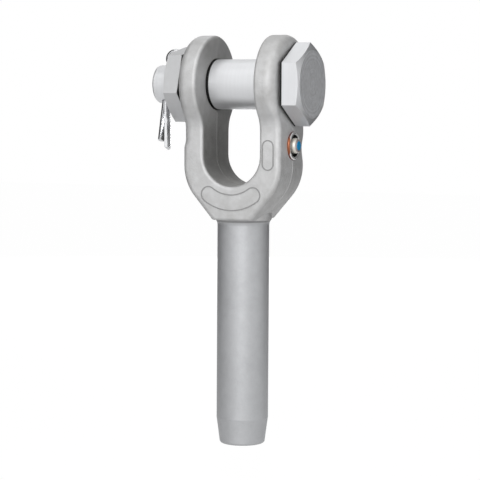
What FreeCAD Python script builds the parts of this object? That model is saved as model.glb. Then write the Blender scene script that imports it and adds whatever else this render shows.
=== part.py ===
import FreeCAD, Part
import math
import os

import Sketcher

# Open swage socket for steel wire rope: a forged fork with a tubular shank,
# closed across its jaw by a hex head bolt, a nut and a cotter pin.
# Frame: origin at the centre of the rope bore's mouth, on the shank's end face.
# +Z runs along the shank to the ears, the bolt lies along X with its head at +X,
# and -Y is the side with the raised panels. All sizes are in millimetres.

Vector = FreeCAD.Vector
doc = FreeCAD.newDocument("OpenSwageSocket")

# Sizes

SIZES = [
    # shank, from the rope's end upwards
    ("shank_diameter", 43.2, "outside of the plain shank"),
    ("end_diameter", 38.0, "shank at its end face, below the taper"),
    ("taper_length", 22.0, "height of the taper above the end face"),
    ("end_rounding", 2.5, "rounded outer corner of the end face"),
    ("neck_diameter", 47.2, "shank where it flares into the fork"),
    ("neck_blend", 6.0, "radius of the flare under the fork"),
    ("rope_bore_diameter", 23.9, "hole that takes the rope"),
    ("rope_bore_depth", 165.0, "full bore, without the drill point"),
    ("drill_point_angle", 118.0, "point left by the drill"),
    # fork, measured on the parting plane y = 0
    ("ledge_height", 188.0, "underside of the fork above the end face"),
    ("root_rise", 28.8, "bottom of the jaw above the underside"),
    ("shoulder_rise", 44.7, "where the legs' outer faces begin to bend in, above the underside"),
    ("pin_rise", 111.6, "bolt axis above the underside"),
    ("jaw_width", 49.0, "between the legs"),
    ("fork_width", 89.0, "across the legs"),
    ("fork_depth", 51.6, "front face to back face"),
    ("outer_bend", 40.0, "radius of the bend under each leg"),
    ("flank_angle", 41.0, "slope of the fork's flanks from the shank's axis"),
    ("draft_angle", 2.0, "forging draft, each way from the parting plane"),
    ("ear_radius", 40.4, "round end of each ear, about the bolt axis"),
    ("ear_blend", 20.0, "radius that leads each ear into its leg"),
    ("leg_edge_radius", 4.0, "outer edges of the legs"),
    ("ear_edge_radius", 8.0, "outer edges of the ears"),
    ("jaw_edge_radius", 2.7, "edges of the jaw"),
    ("ledge_edge_radius", 2.2, "edges of the underside"),
    # raised outlines on the front face
    ("bead_width", 1.0, "width of each raised line"),
    ("bead_rise", 0.4, "height of each raised line"),
    ("panel_centre_rise", 48.7, "centre of the curved panel's arc above the underside"),
    ("panel_radius", 34.0, "middle line of the curved panel"),
    ("panel_half_width", 6.4, "half the width of the curved panel"),
    ("panel_half_angle", 36.0, "half the sweep of the curved panel"),
    ("slot_centre_rise", 54.0, "middle of the straight panel above the underside"),
    ("slot_centre_offset", 33.2, "straight panel's middle from the shank's axis"),
    ("slot_length", 25.0, "straight panel, end to end"),
    ("slot_width", 10.6, "straight panel, side to side"),
    # bolt
    ("pin_diameter", 41.4, "bolt shank"),
    ("pin_clearance", 0.8, "radial gap between bolt shank and ears"),
    ("end_play", 0.7, "gap between each ear and the head or nut"),
    ("head_flats", 59.2, "bolt head across flats"),
    ("head_thickness", 16.2, "bolt head"),
    ("head_face_diameter", 54.6, "flat face inside the head's chamfer"),
    ("head_chamfer_angle", 20.0, "slope of the head's chamfer"),
    ("thread_diameter", 32.0, "reduced end of the bolt"),
    ("bolt_tail", 17.6, "bolt end beyond the nut"),
    ("tail_rounding", 2.0, "rounded end of the bolt"),
    # nut
    ("nut_flats", 56.8, "nut across flats"),
    ("nut_thickness", 15.4, "nut"),
    ("nut_face_diameter", 55.0, "flat faces inside the nut's chamfers"),
    ("nut_chamfer_angle", 18.0, "slope of the nut's chamfers"),
    ("nut_turn", 13.3, "nut's corner below the front, about the bolt axis"),
    ("thread_clearance", 0.05, "radial gap between nut and bolt"),
    # cotter pin
    ("cotter_setback", 8.4, "cotter pin's axis beyond the nut"),
    ("cotter_tilt", 21.7, "cotter pin leaning back from upright"),
    ("cotter_wire_radius", 3.6, "half-round wire"),
    ("cotter_hole_clearance", 0.4, "radial gap in the bolt's cross hole"),
    ("cotter_split", 0.2, "gap between the two flats"),
    ("cotter_eye_radius", 4.4, "inside of the eye"),
    ("cotter_neck_radius", 4.2, "bend between each leg and the eye"),
    ("cotter_eye_gap", 0.6, "start of the eye above the bolt's surface"),
    ("cotter_bend_gap", 1.0, "start of the legs' bends below the bolt's surface"),
    ("cotter_bend_radius", 25.0, "bend of each leg"),
    ("cotter_short_angle", 4.3, "bend of the shorter leg"),
    ("cotter_long_angle", 11.0, "bend of the longer leg"),
    ("cotter_short_leg", 31.5, "shorter leg beyond its bend"),
    ("cotter_long_leg", 36.5, "longer leg beyond its bend"),
    # identification tag in the right leg
    ("tag_drop", 50.1, "tag's centre below the bolt axis"),
    ("tag_pocket_depth", 4.0, "pocket in the leg's outer face"),
    ("tag_clearance", 0.05, "radial gap around the tag's round pieces"),
    ("tag_ring_diameter", 23.4, "outer ring"),
    ("tag_ring_width", 3.0, "outer ring, across its section"),
    ("tag_ring_rise", 1.8, "outer ring above the leg"),
    ("tag_bed_thickness", 3.0, "filling inside the ring"),
    ("tag_plug_diameter", 12.8, "domed plug at its foot"),
    ("tag_plug_neck", 9.0, "domed plug at its tip"),
    ("tag_plug_rise", 5.0, "plug's tip above the leg"),
    ("tag_plug_rounding", 3.4, "radius of the plug's shoulder"),
    ("tag_disc_diameter", 7.4, "coloured disc in the plug's tip"),
    ("tag_disc_thickness", 1.2, "coloured disc"),
    ("tag_disc_rise", 0.3, "coloured disc above the plug's tip"),
]

# Heights above the end face, which follow the fork's underside

HEIGHTS = [
    ("root_height", "=ledge_height + root_rise", "bottom of the jaw"),
    ("shoulder_height", "=ledge_height + shoulder_rise", "start of the legs' bend"),
    ("pin_height", "=ledge_height + pin_rise", "bolt axis"),
    ("panel_centre_height", "=ledge_height + panel_centre_rise", "centre of the curved panel"),
    ("slot_centre_height", "=ledge_height + slot_centre_rise", "middle of the straight panel"),
]

sheet = doc.addObject("Spreadsheet::Sheet", "sizes")
for row, (name, value, note) in enumerate(SIZES + HEIGHTS, start=1):
    sheet.set("A%d" % row, name)
    sheet.set("B%d" % row, str(value))
    sheet.setAlias("B%d" % row, name)
    sheet.set("C%d" % row, note)
doc.recompute()
size = {name: float(getattr(sheet, name)) for name, value, note in SIZES + HEIGHTS}


# Helpers for sketches and features

def radians(name):
    """One of the sheet's angles, in radians."""
    return math.radians(size[name])


def new_body(name):
    """A body whose label is the piece's name."""
    body = doc.addObject("PartDesign::Body", name)
    body.Label = name
    return body


def origin_plane(body, role):
    """One of a body's own origin planes."""
    return [item for item in body.Origin.OriginFeatures if item.Role == role][0]


def sketch_on(body, role, name):
    """An empty sketch on an origin plane of the body."""
    sketch = body.newObject("Sketcher::SketchObject", name)
    sketch.AttachmentSupport = [(origin_plane(body, role), "")]
    sketch.MapMode = "FlatFace"
    return sketch


def line(sketch, start, end, construction=False):
    """A straight edge between two points of the sketch."""
    segment = Part.LineSegment(Vector(start[0], start[1], 0), Vector(end[0], end[1], 0))
    return sketch.addGeometry(segment, construction)


def arc(sketch, centre, radius, first, last):
    """An arc, counter-clockwise between two angles in radians."""
    circle = Part.Circle(Vector(centre[0], centre[1], 0), Vector(0, 0, 1), radius)
    return sketch.addGeometry(Part.ArcOfCircle(circle, first, last), False)


def circle(sketch, centre, radius):
    """A full circle."""
    shape = Part.Circle(Vector(centre[0], centre[1], 0), Vector(0, 0, 1), radius)
    return sketch.addGeometry(shape, False)


def tie(sketch, kind, *where):
    """A constraint without a size."""
    return sketch.addConstraint(Sketcher.Constraint(kind, *where))


def bind(sketch, kind, where, name, value, formula):
    """A dimension with a name of its own that follows the sheet."""
    index = sketch.addConstraint(Sketcher.Constraint(kind, *where, value))
    sketch.renameConstraint(index, name)
    sketch.setExpression("Constraints." + name, formula)


def chain(sketch, edges):
    """Edges joined end to start, the last one back to the first."""
    for first, second in zip(edges, edges[1:] + edges[:1]):
        tie(sketch, "Coincident", first, 2, second, 1)


def polygon(sketch, points):
    """A closed outline of straight edges through the points."""
    edges = []
    for start, end in zip(points, points[1:] + points[:1]):
        edges.append(line(sketch, start, end))
    chain(sketch, edges)
    return edges


def place_point(sketch, edge, end, name, values, formulas):
    """Both distances of a point from the sketch's origin."""
    bind(sketch, "DistanceX", (-1, 1, edge, end), name + "_x", values[0], formulas[0])
    bind(sketch, "DistanceY", (-1, 1, edge, end), name + "_y", values[1], formulas[1])


def feature(body, kind, name, profile):
    """A PartDesign feature that uses one sketch."""
    item = body.newObject("PartDesign::" + kind, name)
    item.Profile = profile
    body.Tip = item
    return item


def turn(body, kind, name, profile, axis="H_Axis"):
    """A full turn of a profile about one of its sketch's axes."""
    item = feature(body, kind, name, profile)
    item.ReferenceAxis = (profile, [axis])
    item.Angle = 360
    return item


# Fork: the outline from the front, drafted both ways from the parting plane

fork = new_body("fork_forging")

outline = sketch_on(fork, "XZ_Plane", "fork_outline")
half_fork = size["fork_width"] / 2
half_jaw = size["jaw_width"] / 2
top = size["pin_height"] + size["ear_radius"] + 5
bend = size["outer_bend"]
slope = radians("flank_angle")
jaw_centre = size["root_height"] + half_jaw
bend_end_x = half_fork - bend * (1 - math.cos(slope))
bend_end_z = size["shoulder_height"] - bend * math.sin(slope)
foot_z = size["ledge_height"] - 4
foot_x = bend_end_x - (bend_end_z - foot_z) * math.tan(slope)

left_side = line(outline, (-half_fork, size["shoulder_height"]), (-half_fork, top))
top_edge = line(outline, (-half_fork, top), (half_fork, top))
right_side = line(outline, (half_fork, top), (half_fork, size["shoulder_height"]))
right_bend = arc(outline, (half_fork - bend, size["shoulder_height"]), bend, -slope, 0)
right_flank = line(outline, (bend_end_x, bend_end_z), (foot_x, foot_z))
foot = line(outline, (foot_x, foot_z), (-foot_x, foot_z))
left_flank = line(outline, (-foot_x, foot_z), (-bend_end_x, bend_end_z))
left_bend = arc(outline, (bend - half_fork, size["shoulder_height"]), bend, math.pi, math.pi + slope)

for first, second in ((left_side, top_edge), (top_edge, right_side),
                      (right_flank, foot), (foot, left_flank)):
    tie(outline, "Coincident", first, 2, second, 1)
for first, first_end, second, second_end in (
        (right_side, 2, right_bend, 2), (right_bend, 1, right_flank, 1),
        (left_flank, 2, left_bend, 2), (left_bend, 1, left_side, 1)):
    tie(outline, "Tangent", first, first_end, second, second_end)
for edge in (left_side, right_side):
    tie(outline, "Vertical", edge)
for edge in (top_edge, foot):
    tie(outline, "Symmetric", edge, 1, edge, 2, -2)
tie(outline, "Equal", left_bend, right_bend)
bind(outline, "Distance", (top_edge, 1, top_edge, 2), "across_legs", size["fork_width"],
     "sizes.fork_width")
bind(outline, "DistanceY", (-1, 1, top_edge, 1), "open_top", top,
     "sizes.pin_height + sizes.ear_radius + 5")
bind(outline, "DistanceY", (-1, 1, right_bend, 3), "shoulder", size["shoulder_height"],
     "sizes.shoulder_height")
bind(outline, "DistanceY", (-1, 1, left_bend, 3), "shoulder_left", size["shoulder_height"],
     "sizes.shoulder_height")
bind(outline, "Radius", (right_bend,), "bend", bend, "sizes.outer_bend")
bind(outline, "DistanceY", (-1, 1, foot, 1), "foot", foot_z, "sizes.ledge_height - 4")
bind(outline, "Angle", (right_flank, 2, foot, 1), "flank", math.pi / 2 + slope,
     "90 + sizes.flank_angle")

fork_pad = feature(fork, "Pad", "drafted_fork", outline)
fork_pad.SideType = "Two sides"
fork_pad.setExpression("Length", "sizes.ear_radius + 2")
fork_pad.setExpression("Length2", "sizes.ear_radius + 2")
fork_pad.setExpression("TaperAngle", "-sizes.draft_angle")
fork_pad.setExpression("TaperAngle2", "-sizes.draft_angle")

# Jaw: straight sides and a round bottom, wider away from the parting plane

jaw_sketch = sketch_on(fork, "XZ_Plane", "jaw_outline")
mouth_z = top + 5
left_jaw = line(jaw_sketch, (-half_jaw, mouth_z), (-half_jaw, jaw_centre))
jaw_root = arc(jaw_sketch, (0, jaw_centre), half_jaw, math.pi, 2 * math.pi)
right_jaw = line(jaw_sketch, (half_jaw, jaw_centre), (half_jaw, mouth_z))
jaw_mouth = line(jaw_sketch, (half_jaw, mouth_z), (-half_jaw, mouth_z))
tie(jaw_sketch, "Coincident", right_jaw, 2, jaw_mouth, 1)
tie(jaw_sketch, "Coincident", jaw_mouth, 2, left_jaw, 1)
tie(jaw_sketch, "Tangent", left_jaw, 2, jaw_root, 1)
tie(jaw_sketch, "Tangent", jaw_root, 2, right_jaw, 1)
tie(jaw_sketch, "Vertical", left_jaw)
tie(jaw_sketch, "Vertical", right_jaw)
tie(jaw_sketch, "Symmetric", jaw_mouth, 1, jaw_mouth, 2, -2)
bind(jaw_sketch, "Distance", (jaw_mouth, 1, jaw_mouth, 2), "across_jaw", size["jaw_width"],
     "sizes.jaw_width")
bind(jaw_sketch, "DistanceY", (-1, 1, jaw_root, 3), "jaw_centre", jaw_centre,
     "sizes.root_height + sizes.jaw_width / 2")
bind(jaw_sketch, "DistanceY", (-1, 1, jaw_mouth, 1), "mouth", mouth_z,
     "sizes.pin_height + sizes.ear_radius + 10")

jaw_cut = feature(fork, "Pocket", "drafted_jaw", jaw_sketch)
jaw_cut.SideType = "Two sides"
jaw_cut.setExpression("Length", "sizes.ear_radius + 2")
jaw_cut.setExpression("Length2", "sizes.ear_radius + 2")
jaw_cut.setExpression("TaperAngle", "sizes.draft_angle")
jaw_cut.setExpression("TaperAngle2", "sizes.draft_angle")

# Fork from the side: straight legs that widen into round ears

side = sketch_on(fork, "YZ_Plane", "side_outline")
half_depth = size["fork_depth"] / 2
reach = size["ear_radius"] + size["ear_blend"]
blend_y = half_depth + size["ear_blend"]
blend_z = size["pin_height"] - math.sqrt(reach ** 2 - blend_y ** 2)
blend_angle = math.acos(blend_y / reach)
keep_y = size["ear_radius"] + 6
keep_low = size["ledge_height"] - 8
keep_high = size["pin_height"] + size["ear_radius"] + 10

underside = line(side, (-half_depth, size["ledge_height"]), (half_depth, size["ledge_height"]))
back = line(side, (half_depth, size["ledge_height"]), (half_depth, blend_z))
back_blend = arc(side, (blend_y, blend_z), size["ear_blend"], math.pi - blend_angle, math.pi)
ear = arc(side, (0, size["pin_height"]), size["ear_radius"], -blend_angle, math.pi + blend_angle)
front_blend = arc(side, (-blend_y, blend_z), size["ear_blend"], 0, blend_angle)
front = line(side, (-half_depth, blend_z), (-half_depth, size["ledge_height"]))
tie(side, "Coincident", underside, 2, back, 1)
tie(side, "Coincident", front, 2, underside, 1)
for first, first_end, second, second_end in (
        (back, 2, back_blend, 2), (back_blend, 1, ear, 1),
        (ear, 2, front_blend, 2), (front_blend, 1, front, 1)):
    tie(side, "Tangent", first, first_end, second, second_end)
tie(side, "Vertical", back)
tie(side, "Vertical", front)
tie(side, "Symmetric", underside, 1, underside, 2, -2)
tie(side, "PointOnObject", ear, 3, -2)
tie(side, "Equal", front_blend, back_blend)
bind(side, "DistanceY", (-1, 1, ear, 3), "pin_height", size["pin_height"], "sizes.pin_height")
bind(side, "Radius", (ear,), "ear_radius", size["ear_radius"], "sizes.ear_radius")
bind(side, "Radius", (back_blend,), "ear_blend", size["ear_blend"], "sizes.ear_blend")
bind(side, "DistanceY", (-1, 1, underside, 1), "ledge", size["ledge_height"], "sizes.ledge_height")
bind(side, "Distance", (underside, 1, underside, 2), "depth", size["fork_depth"],
     "sizes.fork_depth")
frame_edges = polygon(side, [(-keep_y, keep_low), (keep_y, keep_low),
                             (keep_y, keep_high), (-keep_y, keep_high)])
for edge in (frame_edges[1], frame_edges[3]):
    tie(side, "Vertical", edge)
for edge in (frame_edges[0], frame_edges[2]):
    tie(side, "Horizontal", edge)
place_point(side, frame_edges[0], 2, "low", (keep_y, keep_low),
            ("sizes.ear_radius + 6", "sizes.ledge_height - 8"))
bind(side, "Distance", (frame_edges[0], 1, frame_edges[0], 2), "frame_width", 2 * keep_y,
     "2 * (sizes.ear_radius + 6)")
bind(side, "DistanceY", (-1, 1, frame_edges[2], 1), "high", keep_high,
     "sizes.pin_height + sizes.ear_radius + 10")

side_cut = feature(fork, "Pocket", "side_trim", side)
side_cut.Type = "ThroughAll"
side_cut.SideType = "Symmetric"
doc.recompute()


# Edges of the fork, found by the faces that they join

def is_rim(face):
    """Front, back and round end faces, which the draft leaves alone."""
    surface = face.Surface
    if isinstance(surface, Part.Plane):
        return abs(surface.Axis.y) > 0.99
    return isinstance(surface, Part.Cylinder) and abs(surface.Axis.x) > 0.99


def is_ledge(face):
    """The flat underside."""
    surface = face.Surface
    return isinstance(surface, Part.Plane) and abs(surface.Axis.z) > 0.99


def fork_edges(shape, wanted):
    """Numbers of the outer, jaw or ledge edges of a fork shape."""
    middle = (half_fork + half_jaw) / 2
    found = []
    for number, edge in enumerate(shape.Edges, start=1):
        faces = [face for face in shape.Faces if any(edge.isSame(other) for other in face.Edges)]
        if len(faces) != 2:
            continue
        rims = sum(is_rim(face) for face in faces)
        if any(is_ledge(face) for face in faces):
            kind = "ledge"
        elif rims == 1:
            point = edge.valueAt((edge.FirstParameter + edge.LastParameter) / 2)
            below = min(0, point.z - jaw_centre)
            kind = "jaw" if math.hypot(point.x, below) < middle else "outer"
        else:
            kind = "other"
        if kind == wanted:
            found.append((number, edge))
    return found


def edge_radius(point):
    """Outer edge radius, larger on the round of the ear than on the leg."""
    distance = math.hypot(point.y, point.z - size["pin_height"])
    on_ear = abs(distance - size["ear_radius"]) < 0.01
    return size["ear_edge_radius"] if on_ear else size["leg_edge_radius"]


outer_round = doc.addObject("Part::Fillet", "outer_edges")
outer_round.Base = fork
outer_list = []
for number, edge in fork_edges(fork.Shape, "outer"):
    start = edge.valueAt(edge.FirstParameter)
    end = edge.valueAt(edge.LastParameter)
    outer_list.append((number, edge_radius(start), edge_radius(end)))
outer_round.Edges = outer_list
doc.recompute()

jaw_round = doc.addObject("Part::Fillet", "jaw_edges")
jaw_round.Base = outer_round
jaw_radius = size["jaw_edge_radius"]
jaw_round.Edges = [(number, jaw_radius, jaw_radius)
                   for number, edge in fork_edges(outer_round.Shape, "jaw")]
doc.recompute()

ledge_round = doc.addObject("Part::Fillet", "ledge_edges")
ledge_round.Base = jaw_round
ledge_radius = size["ledge_edge_radius"]
ledge_round.Edges = [(number, ledge_radius, ledge_radius)
                     for number, edge in fork_edges(jaw_round.Shape, "ledge")]
doc.recompute()

# Shank with its rope bore, one turned profile

shank = new_body("shank")
profile = sketch_on(shank, "XZ_Plane", "shank_profile")
shank_r = size["shank_diameter"] / 2
end_r = size["end_diameter"] / 2
neck_r = size["neck_diameter"] / 2
bore_r = size["rope_bore_diameter"] / 2
corner = size["end_rounding"]
flare = size["neck_blend"]
flare_angle = math.acos(1 - (neck_r - shank_r) / flare)
flare_z = size["ledge_height"] - flare * math.sin(flare_angle)
neck_top = (size["ledge_height"] + size["root_height"]) / 2
drill_tip = size["rope_bore_depth"] + bore_r / math.tan(radians("drill_point_angle") / 2)
lean = math.atan2(shank_r - end_r, size["taper_length"])

end_face = line(profile, (bore_r, 0), (end_r - corner, 0))
end_corner = arc(profile, (end_r - corner, corner), corner, -math.pi / 2, -lean)
taper_start = (end_r - corner + corner * math.cos(lean), corner - corner * math.sin(lean))
taper = line(profile, taper_start, (shank_r, size["taper_length"]))
wall = line(profile, (shank_r, size["taper_length"]), (shank_r, flare_z))
neck_flare = arc(profile, (shank_r + flare, flare_z), flare, math.pi - flare_angle, math.pi)
neck = line(profile, (neck_r, size["ledge_height"]), (neck_r, neck_top))
neck_end = line(profile, (neck_r, neck_top), (0, neck_top))
axis_edge = line(profile, (0, neck_top), (0, drill_tip))
drill_cone = line(profile, (0, drill_tip), (bore_r, size["rope_bore_depth"]))
bore_wall = line(profile, (bore_r, size["rope_bore_depth"]), (bore_r, 0))
for first, first_end, second, second_end in (
        (taper, 2, wall, 1), (neck_flare, 1, neck, 1), (neck, 2, neck_end, 1),
        (neck_end, 2, axis_edge, 1), (axis_edge, 2, drill_cone, 1),
        (drill_cone, 2, bore_wall, 1), (bore_wall, 2, end_face, 1)):
    tie(profile, "Coincident", first, first_end, second, second_end)
for first, first_end, second, second_end in (
        (end_face, 2, end_corner, 1), (end_corner, 2, taper, 1), (wall, 2, neck_flare, 2)):
    tie(profile, "Tangent", first, first_end, second, second_end)
for edge in (end_face, neck_end):
    tie(profile, "Horizontal", edge)
for edge in (wall, neck, axis_edge, bore_wall):
    tie(profile, "Vertical", edge)
tie(profile, "PointOnObject", axis_edge, 1, -2)
place_point(profile, end_face, 1, "mouth", (bore_r, 0), ("sizes.rope_bore_diameter / 2", "0"))
bind(profile, "DistanceX", (-1, 1, end_corner, 3), "end_width", end_r - corner,
     "sizes.end_diameter / 2 - sizes.end_rounding")
bind(profile, "Radius", (end_corner,), "end_rounding", corner, "sizes.end_rounding")
place_point(profile, wall, 1, "taper_top", (shank_r, size["taper_length"]),
            ("sizes.shank_diameter / 2", "sizes.taper_length"))
bind(profile, "Radius", (neck_flare,), "flare", flare, "sizes.neck_blend")
place_point(profile, neck, 1, "neck_start", (neck_r, size["ledge_height"]),
            ("sizes.neck_diameter / 2", "sizes.ledge_height"))
bind(profile, "DistanceY", (-1, 1, neck_end, 1), "neck_top", neck_top,
     "(sizes.ledge_height + sizes.root_height) / 2")
bind(profile, "DistanceY", (-1, 1, bore_wall, 1), "bore_depth", size["rope_bore_depth"],
     "sizes.rope_bore_depth")
bind(profile, "DistanceY", (-1, 1, drill_cone, 1), "drill_tip", drill_tip,
     "sizes.rope_bore_depth + sizes.rope_bore_diameter / 2"
     " / tan(sizes.drill_point_angle * 0.5 * 1 deg)")
turn(shank, "Revolution", "turned_shank", profile, "V_Axis")
doc.recompute()

# Raised outlines on the front face: a curved panel and a straight one

def front_sketch(body, name):
    """A sketch as far under the fork's front face as the lines stand above it."""
    sketch = sketch_on(body, "XZ_Plane", name)
    sketch.setExpression("AttachmentOffset.Base.z", "sizes.fork_depth / 2 - sizes.bead_rise")
    return sketch


def raise_bead(body, name, sketch):
    """The raised line itself, half of it sunk in the face."""
    bead = feature(body, "Pad", name, sketch)
    bead.setExpression("Length", "2 * sizes.bead_rise")


def curved_loop(sketch, half_width, formula, tag):
    """A closed loop: two concentric arcs joined by two round ends."""
    centre = (0, size["panel_centre_height"])
    radius = size["panel_radius"]
    half = radians("panel_half_angle")
    ends_x = radius * math.sin(half)
    ends_z = centre[1] - radius * math.cos(half)
    low = -math.pi / 2
    far = arc(sketch, centre, radius + half_width, low - half, low + half)
    right = arc(sketch, (ends_x, ends_z), half_width, low + half, low + half + math.pi)
    near = arc(sketch, centre, radius - half_width, low - half, low + half)
    left = arc(sketch, (-ends_x, ends_z), half_width, low - half - math.pi, low - half)
    for first, first_end, second, second_end in (
            (far, 2, right, 1), (right, 2, near, 2), (near, 1, left, 1), (left, 2, far, 1)):
        tie(sketch, "Tangent", first, first_end, second, second_end)
    tie(sketch, "PointOnObject", far, 3, -2)
    tie(sketch, "Coincident", far, 3, near, 3)
    bind(sketch, "DistanceY", (-1, 1, far, 3), tag + "_centre", centre[1],
         "sizes.panel_centre_height")
    bind(sketch, "Radius", (far,), tag + "_far", radius + half_width,
         "sizes.panel_radius + " + formula)
    bind(sketch, "Radius", (near,), tag + "_near", radius - half_width,
         "sizes.panel_radius - (" + formula + ")")
    bind(sketch, "DistanceX", (-1, 1, right, 3), tag + "_right", ends_x,
         "sizes.panel_radius * sin(sizes.panel_half_angle * 1 deg)")
    bind(sketch, "DistanceX", (left, 3, -1, 1), tag + "_left", ends_x,
         "sizes.panel_radius * sin(sizes.panel_half_angle * 1 deg)")


def straight_loop(sketch, half_width, formula, tag):
    """A closed loop: two upright sides joined by two round ends."""
    centre_x = size["slot_centre_offset"]
    half_run = (size["slot_length"] - size["slot_width"]) / 2
    high = size["slot_centre_height"] + half_run
    low = size["slot_centre_height"] - half_run
    upper = arc(sketch, (centre_x, high), half_width, 0, math.pi)
    left = line(sketch, (centre_x - half_width, high), (centre_x - half_width, low))
    lower = arc(sketch, (centre_x, low), half_width, math.pi, 2 * math.pi)
    right = line(sketch, (centre_x + half_width, low), (centre_x + half_width, high))
    for first, first_end, second, second_end in (
            (upper, 2, left, 1), (left, 2, lower, 1), (lower, 2, right, 1), (right, 2, upper, 1)):
        tie(sketch, "Tangent", first, first_end, second, second_end)
    tie(sketch, "Vertical", left)
    tie(sketch, "Vertical", right)
    place_point(sketch, upper, 3, tag + "_upper", (centre_x, high),
                ("sizes.slot_centre_offset",
                 "sizes.slot_centre_height + (sizes.slot_length - sizes.slot_width) / 2"))
    bind(sketch, "DistanceY", (-1, 1, lower, 3), tag + "_lower", low,
         "sizes.slot_centre_height - (sizes.slot_length - sizes.slot_width) / 2")
    bind(sketch, "Radius", (upper,), tag + "_radius", half_width, formula)


half_bead = size["bead_width"] / 2
curved_outline = new_body("curved_outline")
curved = front_sketch(curved_outline, "curved_panel")
curved_loop(curved, size["panel_half_width"] + half_bead,
            "sizes.panel_half_width + sizes.bead_width / 2", "outside")
curved_loop(curved, size["panel_half_width"] - half_bead,
            "sizes.panel_half_width - sizes.bead_width / 2", "inside")
raise_bead(curved_outline, "curved_bead", curved)

straight_outline = new_body("straight_outline")
straight = front_sketch(straight_outline, "straight_panel")
straight_loop(straight, size["slot_width"] / 2, "sizes.slot_width / 2", "outside")
straight_loop(straight, size["slot_width"] / 2 - size["bead_width"],
              "sizes.slot_width / 2 - sizes.bead_width", "inside")
raise_bead(straight_outline, "straight_bead", straight)
doc.recompute()

# Socket body: one forging, drilled for the bolt and for the tag

forging = doc.addObject("Part::MultiFuse", "forging")
forging.Shapes = [ledge_round, shank, curved_outline, straight_outline]

ear_drill = doc.addObject("Part::Cylinder", "ear_drill")
ear_drill.setExpression("Radius", "sizes.pin_diameter / 2 + sizes.pin_clearance")
ear_drill.setExpression("Height", "sizes.fork_width + 20")
ear_drill.Placement = FreeCAD.Placement(Vector(0, 0, 0), FreeCAD.Rotation(Vector(0, 1, 0), 90))
ear_drill.setExpression("Placement.Base.x", "-sizes.fork_width / 2 - 10")
ear_drill.setExpression("Placement.Base.z", "sizes.pin_height")

tag_drill = doc.addObject("Part::Cylinder", "tag_drill")
tag_drill.setExpression("Radius", "sizes.tag_ring_diameter / 2 + sizes.tag_clearance")
tag_drill.setExpression("Height", "sizes.tag_pocket_depth + 5")
tag_drill.Placement = FreeCAD.Placement(Vector(0, 0, 0), FreeCAD.Rotation(Vector(0, 1, 0), 90))
tag_drill.setExpression("Placement.Base.x", "sizes.fork_width / 2 - sizes.tag_pocket_depth")
tag_drill.setExpression("Placement.Base.z", "sizes.pin_height - sizes.tag_drop")

drills = doc.addObject("Part::MultiFuse", "drills")
drills.Shapes = [ear_drill, tag_drill]

socket_body = doc.addObject("Part::Cut", "socket_body")
socket_body.Label = "socket_body"
socket_body.Base = forging
socket_body.Tool = drills
doc.recompute()

# Helpers for the bolt and the nut, which both lie along X


def hexagon(sketch, across_flats, turn, turn_formula):
    """Six equal sides between corners on one circle, the first corner turned by an angle."""
    radius = size[across_flats] / math.sqrt(3)
    corners = []
    for step in range(6):
        angle = turn + step * math.pi / 3
        corners.append((radius * math.cos(angle), radius * math.sin(angle)))
    sides = polygon(sketch, corners)
    guide = circle(sketch, (0, 0), radius)
    sketch.setConstruction(guide, True)
    tie(sketch, "Coincident", guide, 3, -1, 1)
    for edge in sides:
        tie(sketch, "PointOnObject", edge, 1, guide)
    for edge in sides[1:]:
        tie(sketch, "Equal", sides[0], edge)
    corner = "sizes." + across_flats + " / sqrt(3) * "
    place_point(sketch, sides[0], 1, "corner", corners[0],
                (corner + "cos(%s)" % turn_formula, corner + "sin(%s)" % turn_formula))


def corner_chamfer(body, name, where, where_formula, outward, across_flats, face, angle):
    """Cut a hexagon's corners to a cone that meets its end face in a circle."""
    sketch = sketch_on(body, "XZ_Plane", name + "_profile")
    inner = size[face] / 2
    outer = size[across_flats] / math.sqrt(3) + 1
    depth = (outer - inner) * math.tan(radians(angle))
    end_edge = line(sketch, (where, inner), (where, outer))
    rim_edge = line(sketch, (where, outer), (where - outward * depth, outer))
    cone_edge = line(sketch, (where - outward * depth, outer), (where, inner))
    chain(sketch, [end_edge, rim_edge, cone_edge])
    tie(sketch, "Vertical", end_edge)
    tie(sketch, "Horizontal", rim_edge)
    reach_formula = "(sizes.%s / sqrt(3) + 1)" % across_flats
    place_point(sketch, end_edge, 1, "face", (where, inner),
                (where_formula, "sizes.%s / 2" % face))
    bind(sketch, "DistanceY", (-1, 1, rim_edge, 1), "reach", outer, reach_formula)
    first, second = (rim_edge, 2), (rim_edge, 1)
    if outward < 0:
        first, second = second, first
    bind(sketch, "DistanceX", first + second, "depth", depth,
         "(%s - sizes.%s / 2) * tan(sizes.%s * 1 deg)" % (reach_formula, face, angle))
    turn(body, "Groove", name, sketch)


# Clevis bolt: shank and reduced end turned in one, hex head, cross hole

grip = size["fork_width"] / 2 + size["end_play"]
GRIP = "(sizes.fork_width / 2 + sizes.end_play)"
head_end = grip + size["head_thickness"]
nut_end = grip + size["nut_thickness"]
tail_end = nut_end + size["bolt_tail"]
cotter_x = nut_end + size["cotter_setback"]

bolt = new_body("clevis_bolt")
bolt.setExpression("Placement.Base.z", "sizes.pin_height")
bolt_profile = sketch_on(bolt, "XZ_Plane", "bolt_profile")
pin_r = size["pin_diameter"] / 2
thread_r = size["thread_diameter"] / 2
round_r = size["tail_rounding"]
inside_head = grip + size["head_thickness"] / 2

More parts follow.
